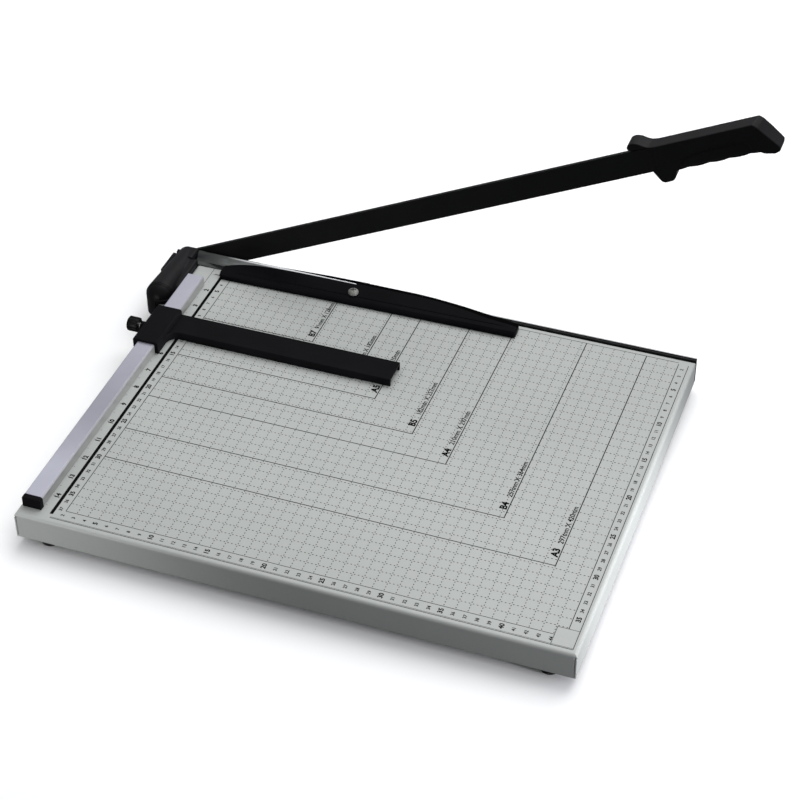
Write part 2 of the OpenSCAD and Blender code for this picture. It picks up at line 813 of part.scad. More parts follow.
module clamp_knob() {
    color([0.08, 0.08, 0.08]) at_clamp() difference() {
        union() {
            rod_x(14, -38.4, -29.6);
            rod_x(12, -39.2, -28.8);
        }
        // grip flutes
        for (a = [0:45:315])
            rotate([a, 0, 0]) translate([0, 0, 8.1]) rod_x(4, -42, -27);
        rod_x(clamp_d, -36, -20);
    }
}

base_tray();
underside_stiffeners();
rubber_feet();
foot_screws();
foot_nuts();
fixed_blade();
fixed_blade_screws();
fence_rail();
fence_end_cap();
fence_screws();
polished_guide_plate();
guide_plate_screws();
finger_guard();
guard_screw();
guard_nut();
hinge_bracket();
hinge_bracket_screws();
hinge_housing();
housing_end_cap();
housing_screws();
pivot_shaft();
pivot_washer();
spring_cups();
pivot_spring();
pivot_lock_nut();
blade_arm();
arm_bush();
handle_grip();
handle_rivets();
paper_stop();
clamp_nut();
clamp_screw();
clamp_knob();
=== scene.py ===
# A guillotine paper cutter. The table top lies at z = 0 with its back left corner near the
# origin: +X runs right along the fixed blade, -Y runs forward along the fence rail and +Z is up.
# The hinge lies left of the table and the blade arm rises to the right from it.
# Lengths are in mm where a value is multiplied by MM, and in metres in materials and the stage.
import math
import random

import bmesh
import bpy
from mathutils import Matrix, Vector


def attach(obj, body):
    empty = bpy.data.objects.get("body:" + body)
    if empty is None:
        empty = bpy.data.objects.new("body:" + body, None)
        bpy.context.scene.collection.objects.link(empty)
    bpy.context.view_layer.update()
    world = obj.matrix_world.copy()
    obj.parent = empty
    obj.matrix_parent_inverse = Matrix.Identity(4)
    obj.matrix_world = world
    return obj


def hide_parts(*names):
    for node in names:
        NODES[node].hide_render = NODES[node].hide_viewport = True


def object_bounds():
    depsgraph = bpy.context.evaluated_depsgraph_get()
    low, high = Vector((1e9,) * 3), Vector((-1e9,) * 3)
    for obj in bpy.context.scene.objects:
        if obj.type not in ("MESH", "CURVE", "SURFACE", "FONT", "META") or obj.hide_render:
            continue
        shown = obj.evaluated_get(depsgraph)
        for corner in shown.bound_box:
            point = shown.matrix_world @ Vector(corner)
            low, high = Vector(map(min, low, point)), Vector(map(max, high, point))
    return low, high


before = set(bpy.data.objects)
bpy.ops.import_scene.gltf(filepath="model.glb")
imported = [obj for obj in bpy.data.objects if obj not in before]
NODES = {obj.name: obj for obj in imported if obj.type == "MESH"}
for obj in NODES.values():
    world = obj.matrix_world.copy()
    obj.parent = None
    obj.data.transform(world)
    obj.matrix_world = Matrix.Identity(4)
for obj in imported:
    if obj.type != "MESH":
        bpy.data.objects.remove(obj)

CAD_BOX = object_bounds()
MM = 0.001
random.seed(7)


# ---------------------------------------------------------------- node helpers
class Nodes:
    """A node tree whose inputs take either values or the outputs of other nodes."""

    def __init__(self, tree):
        self.tree = tree

    def assign(self, socket, value):
        if isinstance(value, bpy.types.NodeSocket):
            self.tree.links.new(value, socket)
        elif socket.type == "RGBA":
            socket.default_value = (*value, 1.0)
        else:
            socket.default_value = value

    def node(self, kind, inputs=None, **settings):
        """Add a node; inputs maps socket names or indices to values."""
        node = self.tree.nodes.new("ShaderNode" + kind)
        for key, value in settings.items():
            setattr(node, key, value)
        for key, value in (inputs or {}).items():
            self.assign(node.inputs[key], value)
        return node

    def math(self, operation, a, b):
        return self.node("Math", {0: a, 1: b}, operation=operation).outputs[0]

    def dot(self, a, b):
        return self.node("VectorMath", {0: a, 1: b}, operation="DOT_PRODUCT").outputs["Value"]

    def remap(self, value, span, to=(0.0, 1.0), **settings):
        """Carry value from span to the range to, clamped."""
        inputs = dict(enumerate((value, *span, *to)))
        return self.node("MapRange", inputs, clamp=True, **settings).outputs[0]

    def mix(self, factor, a, b):
        """Blend two colours."""
        return self.node("Mix", {0: factor, 6: a, 7: b}, data_type="RGBA").outputs[2]


class Material(Nodes):
    """A new material with one principled surface, textured in object coordinates."""

    def __init__(self, name):
        self.material = bpy.data.materials.new(name)
        self.material.use_nodes = True
        super().__init__(self.material.node_tree)
        self.tree.nodes.clear()
        self.surface = self.node("BsdfPrincipled")
        self.node("OutputMaterial", {0: self.surface.outputs[0]})
        self.coord = self.node("TexCoord").outputs["Object"]

    def noise(self, scale=1.0, detail=2.0, rough=0.5, stretch=None, distortion=0.0):
        """Noise; stretch scales the coordinates, so it runs along the smallest axis."""
        vector = self.coord
        if stretch:
            vector = self.node("Mapping", {"Vector": vector, "Scale": stretch}).outputs[0]
        return self.node("TexNoise", {
            "Vector": vector, "Scale": scale, "Detail": detail,
            "Roughness": rough, "Distortion": distortion}).outputs[0]

    def bump(self, height, strength, distance, normal):
        return self.node("Bump", {
            "Height": height, "Strength": strength,
            "Distance": distance, "Normal": normal}).outputs[0]

    def split(self, vector):
        return self.node("SeparateXYZ", {0: vector}).outputs

    def surface_normal(self):
        return self.node("NewGeometry").outputs["Normal"]

    def rounded_normal(self, radius):
        return self.node("Bevel", {"Radius": radius}, samples=4).outputs[0]

    def edge_mask(self, rounded):
        """How much of an edge a point is on, from 0 to 1."""
        return self.remap(self.dot(rounded, self.surface_normal()), span=(0.995, 0.86))

    def finish(self, inputs):
        for key, value in inputs.items():
            self.assign(self.surface.inputs[key], value)
        return self.material


def shade(color, factor):
    return tuple(c * factor for c in color)


# ---------------------------------------------------------------- materials
# The parts of a noise's values that are stretched over a whole range
NOISE_MIDDLE = (0.3, 0.7)
NOISE_WIDE = (0.25, 0.75)


def powder_coat(name, base, rough, peel, wear):
    """Orange-peel bump, faint mottling, a few scuffs and chipped, softened edges."""
    m = Material(name)
    mottle = m.noise(scale=9.0, detail=3.0, rough=0.55)
    specks = m.remap(m.noise(scale=420.0, rough=0.6), span=(0.35, 0.7), to=(0.0, 0.10))
    color = m.mix(m.remap(mottle, span=NOISE_MIDDLE), shade(base, 0.965), shade(base, 1.03))
    color = m.mix(specks, color, shade(base, 0.8))

    normal = m.rounded_normal(radius=0.0005)
    chips = m.remap(m.noise(scale=260.0, detail=3.0, rough=0.7), span=(0.52, 0.62))
    chipped = m.math("MULTIPLY", m.edge_mask(normal), chips)
    bare_steel = (0.45, 0.45, 0.46)
    color = m.mix(m.math("MULTIPLY", chipped, wear), color, bare_steel)

    scuffs = m.noise(scale=60.0, detail=5.0, rough=0.7, stretch=(1.0, 3.0, 1.0))
    scuffs = m.remap(scuffs, span=(0.55, 0.75), to=(0.0, 0.10))
    roughness = m.remap(mottle, span=NOISE_MIDDLE, to=(rough - 0.03, rough + 0.04))
    return m.finish({
        "Base Color": color,
        "Roughness": m.math("ADD", roughness, scuffs),
        "Specular IOR Level": 0.45,
        "Normal": m.bump(m.noise(scale=1400.0), strength=peel, distance=0.0002, normal=normal),
    })


def ground_land(m):
    """Mask of the bare land along the far top edge of the fixed blade."""
    _, y, z = m.split(m.coord)
    far = m.remap(y, span=(-0.00125, -0.0010))
    high = m.remap(z, span=(0.0004, 0.0008))
    return m.math("MULTIPLY", far, high)


def black_metal(name, rough=0.40, ground=None):
    """Black paint over steel; ground(m) may return a mask of bare ground metal."""
    base = (0.0035, 0.0035, 0.0038)
    worn_steel = (0.16, 0.16, 0.165)
    ground_steel = (0.55, 0.55, 0.56)
    rough_offset = 0.0  # raises or lowers the roughness all over
    ground_rough = -0.08  # added where the metal is ground

    m = Material(name)
    mottle = m.noise(scale=18.0, detail=3.0, rough=0.6)
    streaks = m.noise(scale=220.0, detail=3.0, rough=0.6, stretch=(0.12, 1.0, 1.0))
    color = m.mix(m.remap(mottle, span=NOISE_MIDDLE), base, shade(base, 1.5))
    normal = m.rounded_normal(radius=0.0004)
    worn = m.noise(scale=180.0, detail=4.0, rough=0.7)
    worn = m.remap(worn, span=(0.50, 0.66), to=(0.0, 0.55))
    color = m.mix(m.math("MULTIPLY", m.edge_mask(normal), worn), color, worn_steel)
    roughness = m.remap(streaks, span=NOISE_MIDDLE, to=(rough - 0.05, rough + 0.07))
    roughness = m.math("ADD", roughness, rough_offset)
    metallic = 0.0
    if ground:
        metallic = ground(m)
        color = m.mix(metallic, color, ground_steel)
        roughness = m.math("ADD", m.math("MULTIPLY", metallic, ground_rough), roughness)
    return m.finish({
        "Base Color": color,
        "Roughness": roughness,
        "Metallic": metallic,
        "Specular IOR Level": 0.09,
        "Normal": m.bump(m.noise(scale=900.0), strength=0.10, distance=0.0002, normal=normal),
    })


def plastic(name, base=(0.0042, 0.0042, 0.0048), rough=0.42, grain=0.14, scale=1500.0,
            spec=0.07):
    """Moulded plastic: fine grain, faint flow marks and edges polished by hands."""
    edge_blend = 0.35  # how far the edges turn to the lighter colour
    edge_polish = 0.06  # roughness taken off the edges
    fine_ratio = 1.7  # fine grain against the cells

    m = Material(name)
    flow = m.noise(scale=30.0, detail=3.0, rough=0.6)
    color = m.mix(m.remap(flow, span=NOISE_MIDDLE), base, shade(base, 1.45))
    normal = m.rounded_normal(radius=0.0005)
    edge = m.edge_mask(normal)
    color = m.mix(m.math("MULTIPLY", edge, edge_blend), color, shade(base, 2.6))
    roughness = m.remap(flow, span=NOISE_MIDDLE, to=(rough - 0.04, rough + 0.06))
    polish = m.math("MULTIPLY", edge, edge_polish)
    cells = m.node("TexVoronoi", {"Vector": m.coord, "Scale": scale}).outputs["Distance"]
    height = m.math("ADD", cells, m.noise(scale=scale * fine_ratio, rough=0.6))
    return m.finish({
        "Base Color": color,
        "Specular IOR Level": spec,
        "Roughness": m.math("SUBTRACT", roughness, polish),
        "Normal": m.bump(height, strength=grain, distance=0.00015, normal=normal),
    })


def metal(name, base, rough, bump, brushed=None, spots=0.0, metallic=1.0, recolor=None):
    """Bare metal. brushed stretches the scratches; spots is the strength of the tarnish;
    recolor(m, color) may change the colour."""
    m = Material(name)
    mottle = m.noise(scale=25.0, detail=3.0, rough=0.6)
    color = m.mix(m.remap(mottle, span=NOISE_MIDDLE), shade(base, 0.94), shade(base, 1.05))
    if spots:
        tarnish = m.noise(scale=140.0, detail=4.0, rough=0.65)
        tarnish = m.remap(tarnish, span=(0.55, 0.72), to=(0.0, spots))
        color = m.mix(tarnish, color, shade(base, 0.55))
    if recolor:
        color = recolor(m, color)
    if brushed:
        scratches = m.noise(detail=4.0, rough=0.65, stretch=brushed)
    else:
        scratches = m.noise(scale=700.0, detail=3.0, rough=0.6)
    normal = m.rounded_normal(radius=0.0003)
    return m.finish({
        "Base Color": color,
        "Metallic": metallic,
        "Roughness": m.remap(scratches, span=NOISE_WIDE, to=(rough - 0.06, rough + 0.08)),
        "Normal": m.bump(scratches, strength=bump, distance=0.0001, normal=normal),
    })


def fence_bands(m, color):
    """Painted shade: a soft dark band across the extrusion, and an even, darker tone on faces that
    look along +X, the side that lies in shade.
    """
    painted_shade_band = (0.10, 0.103, 0.118)
    painted_side_shade = (0.255, 0.26, 0.25)
    strength = 0.42
    _, y, _ = m.split(m.coord)
    near = m.remap(y, span=(-0.330, -0.268))
    far = m.remap(y, span=(-0.235, -0.140), to=(1.0, 0.35))
    band = m.math("MULTIPLY", m.math("MULTIPLY", near, far), strength)
    facing_x = m.split(m.surface_normal())[0]
    return m.mix(m.remap(facing_x, span=(0.60, 0.80)), m.mix(band, color, painted_shade_band), painted_side_shade)


def spring_plate(name):
    """Polished steel with painted reflections: a painted dark reflection at its left end that
    clears in soft uneven patches, and a painted highlight line just inside its far rim."""
    # the dark, clear and patch tones are painted reflections; the line tone is a painted highlight
    dark_reflection, clear = (0.022, 0.024, 0.026), (0.20, 0.208, 0.204)
    reflection_patch_tone, highlight_tone = (0.10, 0.105, 0.10), (0.93, 0.94, 0.95)
    patch_middle, patch_reach = 0.5, 0.05  # the patches shift the clearing by this reach

    m = Material(name)
    x, y, _ = m.split(m.coord)
    scratches = m.noise(detail=4.0, rough=0.65, stretch=(25.0, 1800.0, 1800.0))
    reflection_patch = m.noise(detail=3.0, rough=0.55, stretch=(34.0, 150.0, 150.0), distortion=0.4)
    shift = m.math("MULTIPLY", m.math("SUBTRACT", reflection_patch, patch_middle), patch_reach)
    reflection_clearing = m.remap(m.math("ADD", x, shift), span=(-0.016, 0.022))
    color = m.mix(reflection_clearing, dark_reflection, clear)
    color = m.mix(m.remap(reflection_patch, span=(0.30, 0.62), to=(0.75, 0.0)), color, reflection_patch_tone)

    # painted highlight line along the far rim
    highlight_near = m.remap(y, span=(-0.0034, -0.0026))
    highlight_far = m.remap(y, span=(-0.0017, -0.0014), to=(1.0, 0.0))
    highlight_line = m.math("MULTIPLY", highlight_near, highlight_far)
    highlight_line = m.math("MULTIPLY", highlight_line, m.remap(x, span=(0.006, 0.030)))
    normal = m.rounded_normal(radius=0.00025)
    return m.finish({
        "Base Color": m.mix(highlight_line, color, highlight_tone),
        "Metallic": 0.9,
        "Roughness": m.remap(scratches, span=NOISE_WIDE, to=(0.07, 0.22)),
        "Normal": m.bump(scratches, strength=0.05, distance=0.0001, normal=normal),
    })


table_paint = powder_coat("table_powder_coat", base=(0.345, 0.360, 0.345), rough=0.46,
                          peel=0.12, wear=0.5)
blade_black = black_metal("blade_black_oxide")
fixed_black = black_metal("fixed_blade_black", ground=ground_land)
bracket_black = black_metal("bracket_black", rough=0.48)
plastic_black = plastic("black_moulding", spec=0.08)
plastic_stop = plastic("stop_moulding", base=(0.0036, 0.0036, 0.0042), rough=0.46, spec=0.02)
plastic_guard = plastic("guard_moulding", base=(0.0029, 0.0029, 0.0035), rough=0.40,
                        grain=0.12, spec=0.015)
# a darker copy of the guard moulding: painted shade on the far band and the thin lip
guard_painted_shade = plastic("guard_moulding_painted_shade", base=(0.0008, 0.0008, 0.001), rough=0.5,
                     grain=0.12, spec=0.005)
plastic_knob = plastic("knob_moulding", base=(0.005, 0.005, 0.005), rough=0.32, grain=0.08)
rubber = plastic("foot_rubber", base=(0.014, 0.014, 0.014), rough=0.78, grain=0.35,
                 scale=700.0)
# the fence's dark band and its darker +X faces are painted shade
aluminium = metal("fence_anodised", base=(0.42, 0.42, 0.485), rough=0.36, bump=0.10,
                  brushed=(2600.0, 18.0, 2600.0), metallic=0.55, recolor=fence_bands)
# the plate's colour is painted reflection with a painted highlight line
polished = spring_plate("polished_spring_steel")
zinc = metal("zinc_steel", base=(0.62, 0.62, 0.62), rough=0.26, bump=0.10, spots=0.35)
screw_dull = metal("dull_zinc_screw", base=(0.15, 0.15, 0.138), rough=0.52, bump=0.16,
                   spots=0.30, metallic=0.35)
bronze = metal("sintered_bronze", base=(0.58, 0.40, 0.19), rough=0.38, bump=0.2, spots=0.3)
spring = metal("spring_wire", base=(0.24, 0.24, 0.26), rough=0.30, bump=0.1, spots=0.4)
ink = plastic("printed_ink", base=(0.0028, 0.0028, 0.0032), rough=0.55, grain=0.05, spec=0.01)
ink_thin = plastic("printed_ink_thin", base=(0.0035, 0.0035, 0.004), rough=0.55, grain=0.05,
                   spec=0.01)

FINISHES = {
    "base_tray": table_paint, "underside_stiffeners": table_paint, "rubber_feet": rubber,
    "foot_screws": zinc, "foot_nuts": zinc, "fixed_blade": fixed_black,
    "fixed_blade_screws": zinc, "fence_rail": aluminium, "fence_end_cap": plastic_stop,
    "fence_screws": zinc, "polished_guide_plate": polished, "guide_plate_screws": zinc,
    "finger_guard": plastic_guard, "guard_screw": screw_dull, "guard_nut": zinc,
    "hinge_bracket": bracket_black, "hinge_bracket_screws": zinc,
    "hinge_housing": plastic_black, "housing_end_cap": plastic_black, "housing_screws": zinc,
    "pivot_shaft": zinc, "pivot_washer": zinc, "spring_cups": zinc, "pivot_spring": spring,
    "pivot_lock_nut": zinc, "blade_arm": blade_black, "arm_bush": bronze,
    "handle_grip": plastic_black, "handle_rivets": bracket_black, "paper_stop": plastic_stop,
    "clamp_nut": zinc, "clamp_screw": zinc, "clamp_knob": plastic_knob,
}
for node_name, material in FINISHES.items():
    part = NODES[node_name]
    if not part.material_slots:
        part.data.materials.append(None)
    for slot in part.material_slots:
        slot.link = "OBJECT"
        slot.material = material


# ---------------------------------------------------------------- mesh helpers
def link_object(name, data):
    ob = bpy.data.objects.new(name, data)
    bpy.context.scene.collection.objects.link(ob)
    return ob


def smooth_below(ob, degrees):
    """Shade smooth, with edges steeper than the angle kept sharp."""
    ob.data.shade_smooth()
    ob.data.set_sharp_from_angle(angle=math.radians(degrees))


def mesh_object(name, verts, faces, material, smooth=None):
    """A cleaned mesh from points in mm; smooth is the sharp-edge angle in degrees."""
    mesh = bpy.data.meshes.new(name)
    mesh.from_pydata([(x * MM, y * MM, z * MM) for x, y, z in verts], [], faces)
    bm = bmesh.new()
    bm.from_mesh(mesh)
    bmesh.ops.remove_doubles(bm, verts=bm.verts, dist=2e-6)
    bmesh.ops.dissolve_degenerate(bm, edges=bm.edges, dist=1e-7)
    bmesh.ops.recalc_face_normals(bm, faces=bm.faces)
    bm.to_mesh(mesh)
    bm.free()
    ob = link_object(name, mesh)
    mesh.materials.append(material)
    if smooth:
        smooth_below(ob, smooth)
    return ob


def evaluated_mesh(ob):
    depsgraph = bpy.context.evaluated_depsgraph_get()
    depsgraph.update()
    return bpy.data.meshes.new_from_object(ob.evaluated_get(depsgraph))


def apply_modifiers(ob):
    mesh = evaluated_mesh(ob)
    old = ob.data
    ob.modifiers.clear()
    ob.data = mesh
    bpy.data.meshes.remove(old)


def combine(ob, tool, operation, use_self=False):
    """Apply a boolean with a tool object, then remove the tool."""
    boolean = ob.modifiers.new("boolean", "BOOLEAN")
    boolean.object = tool
    boolean.operation = operation
    boolean.solver = "EXACT"
    boolean.use_self = use_self
    apply_modifiers(ob)
    bpy.data.objects.remove(tool)


def interpolate(x, table):
    """Linear between the (x, value) rows, held constant beyond both ends."""
    if x <= table[0][0]:
        return table[0][1]
    for (a, value_a), (b, value_b) in zip(table, table[1:]):
        if x <= b:
            return value_a + (value_b - value_a) * (x - a) / (b - a)
    return table[-1][1]


def bridge(ring_count, size, closed):
    """Quads that join successive rings of size points."""
    return [(i * size + j, i * size + (j + 1) % size,
             (i + 1) * size + (j + 1) % size, (i + 1) * size + j)
            for i in range(ring_count - 1) for j in range(size if closed else size - 1)]


def loft(name, rings, material, smooth):
    """A capped solid through closed rings of equal length."""
    size = len(rings[0])
    faces = bridge(len(rings), size, closed=True)
    faces.append(tuple(range(size))[::-1])
    faces.append(tuple((len(rings) - 1) * size + j for j in range(size)))
    return mesh_object(name, [v for ring in rings for v in ring], faces, material, smooth)


# ---------------------------------------------------------------- finger guard
# A long leaf over the back edge of the table, with a near lip, a sloping top and, on its
# wide right part, a band beyond a crease.
GUARD_X0, GUARD_X1 = 8.7, 300.0
WIDE_X = 138.5  # the far edge steps out here
HIGH_UNDER_X = 157.4  # the wide part's underside drops here
LEFT_FAR_Y = -15.4  # far edge of the left end, up to x = 13
LIP_Z = 5.1
PLATE_FOOT_Y = -10.94  # the plate under the guard starts to rise here
SCREW_X, SCREW_Y = 140, -17
SEAT_RADIUS, HOLE_RADIUS = 5.3, 2.7
GUARD_SMOOTH = 28.0
# x, y of the far edge and of the crease on the wide part
FAR_EDGE = [(200, -0.5), (215, -1.3), (243, -3.7), (265, -6.5), (280, -8.6), (300, -10.9)]
CREASE = [(138, -4.9), (200, -4.9), (217, -5.7), (231, -7.1), (245, -8.9), (269, -13.2),
          (282, -14.7), (295, -15.8), (301, -16.2)]
# distance from the near edge, share of the groove's depth
GROOVE = [(2.2, 0.0), (4.2, 0.0), (6.1, 0.0), (6.35, 0.75), (6.6, 1.0), (7.1, 1.0),
          (7.35, 0.75), (7.6, 0.0)]
GROOVE_END = GROOVE[-1][0]
# x, top z of the thin lip along the rim of the plate
THIN_LIP_TOP = [(40.0, 4.4), (75.0, 6.0), (110.0, 7.6), (150.0, 8.3)]
# y, depth below the top, over the thin lip from near to far
THIN_LIP_SECTION = [(-0.9, 0.3), (-0.82, 0.1), (-0.6, 0), (-0.35, 0), (-0.17, 0.1), (-0.1, 0.3)]
GUARD_STATIONS = (
    [8.72, 8.9, 9.2, 9.6, 10.1, 10.8, 11.5, 12.3, 13.0, 14.0]
    + [16 + 3 * i for i in range(40)]
    + [135.4, 136.8, 137.9, 138.3, 138.45, 138.55, 138.7, 139.1, 140.0, 141.0]
    + [143 + 3 * i for i in range(5)] + [157.3, 157.5] + [160 + 3 * i for i in range(46)]
    + [298.2, 298.8, 299.3, 299.7, 299.95])


def guard_far(x):
    if x <= 13:
        return LEFT_FAR_Y
    if x < WIDE_X:
        return -5.0 - 11.6 * math.exp(-(x - 9.5) / 22)
    return interpolate(x, FAR_EDGE)


def guard_top(x):
    if x < 36:
        return 6.6 + 1.6 * (x - 9) / 27
    if x < 140:
        return 8.2 + 1.2 * (x - 36) / 104
    if x < 210:
        return 9.4
    if x < 270:
        return 9.4 - 1.2 * (x - 210) / 60
    return 8.2 - 2.2 * ((x - 270) / 31) ** 2


def round_off(distance, radius):
    """Share of the radius lost at a distance from a rounded end."""
    if distance >= radius:
        return 0.0
    t = 1 - distance / radius
    return 1 - math.sqrt(1 - t * t)


def plate_slope(y):
    return 1.15 + max(0.0, y - PLATE_FOOT_Y) * 5.0 / 9.24


def guard_ring(x):
    # both ends are rounded in plan and over the top
    from_left, from_right = x - GUARD_X0, GUARD_X1 - x
    left_round = round_off(from_left, 3.6)
    right_cut = 1.6 * round_off(from_right, 1.6)
    near = -30.6 + 5.0 * (x - 16) / 284 + 3.0 * left_round + right_cut
    far = guard_far(x) - 3.6 * left_round - right_cut
    drop = 1.4 * round_off(from_left, 1.4) + 1.2 * round_off(from_right, 1.2)
    cap = guard_top(x) - drop

    def top(y):
        return min(LIP_Z + 0.14 * (y + 29.5), cap)

    if x >= WIDE_X:
        crease = interpolate(x, CREASE)
        crease_z = top(crease)
        far_z = crease_z - 0.04 * (far - crease)
        power = 1.0
        under_z = 6.45 if x < HIGH_UNDER_X else 2.05
    else:
        crease = far - 1.0
        crease_z = top(crease)
        far_z = crease_z - 0.9
        power = 2.0
        under_z = plate_slope(far) if far > PLATE_FOOT_Y else 1.2

    # near edge and its rounded lip
    lip_center = LIP_Z - 0.3 * drop - 1.7
    ring = [(near + 0.5, 0.1), (near, 0.6), (near, lip_center)]
    for angle in (18, 36, 54, 72):
        a = math.radians(angle)
        ring.append((near + 1.5 - 1.5 * math.cos(a), lip_center + 1.5 * math.sin(a)))
    # a fine groove sets off the near lip; it fades out before both ends
    depth = 0.5 * max(0.0, min(1.0, (x - 22) / 6, (288 - x) / 6))
    ring += [(near + d, top(near + d) - share * depth) for d, share in GROOVE]
    # slope, crease and far edge
    slope_y = near + GROOVE_END
    for t in (0.15, 0.4, 0.7, 0.9):
        y = slope_y + (crease - slope_y) * t
        ring.append((y, top(y)))
    ring.append((crease, crease_z))
    for t in (0.25, 0.5, 0.75, 0.93):
        ring.append((crease + (far - crease) * t, crease_z + (far_z - crease_z) * t ** power))
    ring += [(far, far_z - 0.35), (far, under_z)]
    # underside, following the plate below it
    if x >= HIGH_UNDER_X:
        ring += [(min(far - 0.2, -4.6), under_z), (min(far - 0.4, -4.8), 1.3)]
    else:
        under = min(far - 0.3, -1.8)
        ring += [(under, plate_slope(under)), (min(under - 0.2, -11.0), 1.17)]
    ring += [(min(-17.1, far - 1.2), 1.17), (min(-17.2, far - 1.4), 0.1)]
    return [(x, y, z) for y, z in ring]


def thin_lip_ring(x):
    top = interpolate(x, THIN_LIP_TOP)
    bottom = 2.05 if x < 138.6 else 6.7
    section = [(x, y, top - depth) for y, depth in THIN_LIP_SECTION]
    return [(x, -0.9, bottom), *section, (x, -0.1, bottom)]


def screw_seat_tool():
    """Spot face and through hole of the guard's screw."""
    bm = bmesh.new()
    for segments, radius, depth, z in ((64, SEAT_RADIUS, 10, 11.6), (48, HOLE_RADIUS, 20, 4)):
        bmesh.ops.create_cone(
            bm, cap_ends=True, segments=segments, radius1=radius * MM, radius2=radius * MM,
            depth=depth * MM, matrix=Matrix.Translation((SCREW_X * MM, SCREW_Y * MM, z * MM)))
    mesh = bpy.data.meshes.new("cut")
    bm.to_mesh(mesh)
    bm.free()
    return link_object("cut", mesh)


def in_dark_band(center):
    """Whether a face is beyond the crease or on the thin lip, where the darker moulding is painted
    shade.
    """
    if center.x > WIDE_X:
        return center.y > interpolate(center.x, CREASE) + 0.1
    return center.y > -1.0


def build_guard():
    guard = loft("finger_guard_moulding", [guard_ring(x) for x in GUARD_STATIONS],
                 plastic_guard, GUARD_SMOOTH)
    lip = loft("lip", [thin_lip_ring(40.0 + 109.9 * i / 60) for i in range(61)],
               plastic_guard, 35.0)
    joined = bmesh.new()
    joined.from_mesh(guard.data)
    joined.from_mesh(lip.data)
    joined.to_mesh(guard.data)
    joined.free()
    bpy.data.objects.remove(lip)
    # faces beyond the crease and on the thin lip take the darker moulding as painted shade
    guard.data.materials.append(guard_painted_shade)
    for face in guard.data.polygons:
        if in_dark_band(face.center / MM):
            face.material_index = 1
    combine(guard, screw_seat_tool(), "DIFFERENCE", use_self=True)
    guard.data.set_sharp_from_angle(angle=math.radians(GUARD_SMOOTH))
    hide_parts("finger_guard")
    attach(guard, "table")


build_guard()

# ---------------------------------------------------------------- hinge housing
# A crowned shell along the shaft that widens forward to a domed end; a flat shoulder
# leaves the crown on its right.
SHAFT_X = -34
CROWN_Z = -3.0
CROWN_FAR_Y, CROWN_FAR_RADIUS = -0.4, 11
DOME_Y, DOME_RADIUS = -66, 14.5
SHOULDER_FADE_Y = -60  # the shoulder sinks from here to the dome
STEP_Y = -17  # the shoulder is narrower and higher beyond this
WALL_FOOT_Y, WALL_FOOT_Z = -4.2, 1.75  # beyond this y the wall stops at this height
SKIRT_Z = -20.0
CORNER_RADIUS = 2.2
# y, how far the section is drawn in, along the rounded far end and the near rim
FAR_ROUNDING = [(-0.4, 1.6), (-0.45, 1.15), (-0.6, 0.75), (-0.9, 0.4), (-1.3, 0.15),
                (-1.9, 0.0), (-4.15, 0.0), (-4.25, 0.0)]
NEAR_RIM = [(-67.2, 0.0), (-67.7, 0.06), (-67.98, 0.3)]
END_CAP_RIM = [(-68.12, 0.3), (-68.4, 0.06)]


def housing_ring(y, edge=0.0):
    """Open section from the lower left edge, over the crown, to the right edge."""
    if y >= DOME_Y:
        grow = (DOME_RADIUS - CROWN_FAR_RADIUS) / (CROWN_FAR_Y - DOME_Y)
        radius = CROWN_FAR_RADIUS + grow * (CROWN_FAR_Y - y)
    else:
        s = (DOME_Y - y) / DOME_RADIUS
        radius = DOME_RADIUS * math.sqrt(1 - s * s)
    radius -= edge
    foot = WALL_FOOT_Z if y > WALL_FOOT_Y else SKIRT_Z
    if y > STEP_Y:
        shoulder, right, right_foot = 8.0, -24.4, foot
    else:
        shoulder, right, right_foot = 6.6 - 1.6 * min(1.0, (STEP_Y - y) / 43), -18.6, 0.3
    shoulder -= edge
    right -= edge
    if y < DOME_Y:
        right = min(right, SHAFT_X + radius)

    # left wall
    points = [(SHAFT_X - radius, max(foot, SKIRT_Z + 17 * t))
              for t in (0.0, 0.03, 0.15, 0.35, 0.6, 0.85)]
    # crown, from the left to where it meets the shoulder
    rise = shoulder - CROWN_Z
    meet = math.degrees(math.asin(rise / radius)) if rise < radius else 90.0
    if y < SHOULDER_FADE_Y:
        fade = (SHOULDER_FADE_Y - y) / (SHOULDER_FADE_Y - DOME_Y)
        meet = max(0.0, meet * (1 - fade))
        shoulder = CROWN_Z + radius * math.sin(math.radians(meet))
    steps = 22
    for i in range(steps + 1):
        a = math.radians(180 - (180 - meet) * i / steps)
        points.append((SHAFT_X + radius * math.cos(a),
                       max(CROWN_Z + radius * math.sin(a), foot)))
    # shoulder, rounded corner and right wall
    start = points[-1][0]
    right = max(right, start + 0.02)
    corner = min(CORNER_RADIUS, (right - start) * 0.7, max(0.02, shoulder - right_foot - 0.3))
    corner_x, corner_z = right - corner, shoulder - corner
    points += [(start + (corner_x - start) * t, shoulder) for t in (0.2, 0.5, 0.8)]
    for i in range(7):
        a = math.radians(90 - 15 * i)
        points.append((corner_x + corner * math.cos(a), corner_z + corner * math.sin(a)))
    points += [(right, corner_z + (right_foot - corner_z) * t) for t in (0.3, 0.65, 1.0)]
    return [(x, y, z) for x, z in points]


